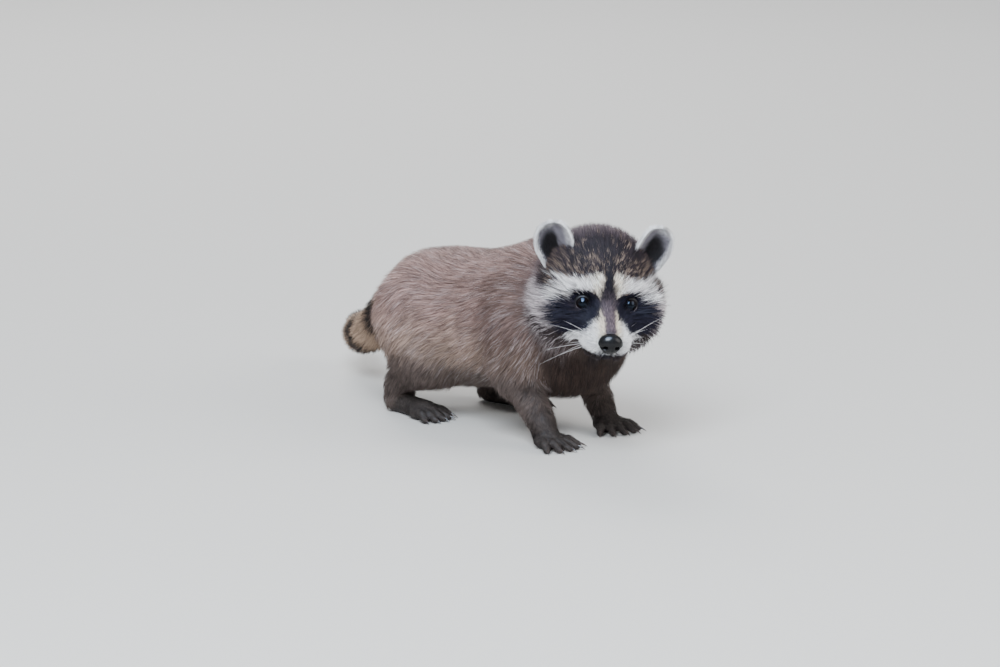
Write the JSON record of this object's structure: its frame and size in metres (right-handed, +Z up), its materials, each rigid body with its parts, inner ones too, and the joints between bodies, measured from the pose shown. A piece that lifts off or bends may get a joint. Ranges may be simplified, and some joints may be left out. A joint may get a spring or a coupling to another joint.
{
  "type": "raccoon kit figure",
  "caption": "Life-size standing raccoon kit with its head turned to its right, a shaggy coat in overlapping locks, fanned toes and a ringed bushy tail.",
  "frame": {"origin": "on the floor, under the middle of the bounding box", "axes": "+Z up, the body heads along -Y, the tail points along +Y, and the kit's left side is +X"},
  "size_m": [0.1452, 0.4706, 0.1888],
  "materials": {
    "eye": "wet gloss, like a dark brown eye",
    "nose_pad": "moist, finely pebbled black skin",
    "pale_fur": "short white to cream fur",
    "crown_fur": "dark brown-grey fur with a black mask and white bands",
    "ear_fur": "short grey fur with a white rim",
    "body_fur": "long tan underfur with dark-tipped guard hairs",
    "leg_fur": "dark grey-brown fur",
    "paw": "very short dark fur over bare soles and toes, with dark claws",
    "dark_tail_fur": "long black-brown fur of the tail's rings"
  },
  "bodies": {
    "root": {"eye_left": "eye", "eye_right": "eye", "nose": "nose_pad", "muzzle": "pale_fur", "lower_jaw": "pale_fur", "head": "crown_fur", "ear_left": "ear_fur", "ear_right": "ear_fur", "neck": "body_fur", "torso": "body_fur", "front_leg_left": "leg_fur", "front_leg_right": "leg_fur", "hind_leg_left": "leg_fur", "hind_leg_right": "leg_fur", "front_paw_left": "paw", "front_paw_right": "paw", "hind_paw_left": "paw", "hind_paw_right": "paw", "tail_1": "body_fur", "tail_2": "dark_tail_fur", "tail_3": "body_fur", "tail_4": "dark_tail_fur", "tail_5": "body_fur", "tail_6": "dark_tail_fur"}
  },
  "joints": []
}
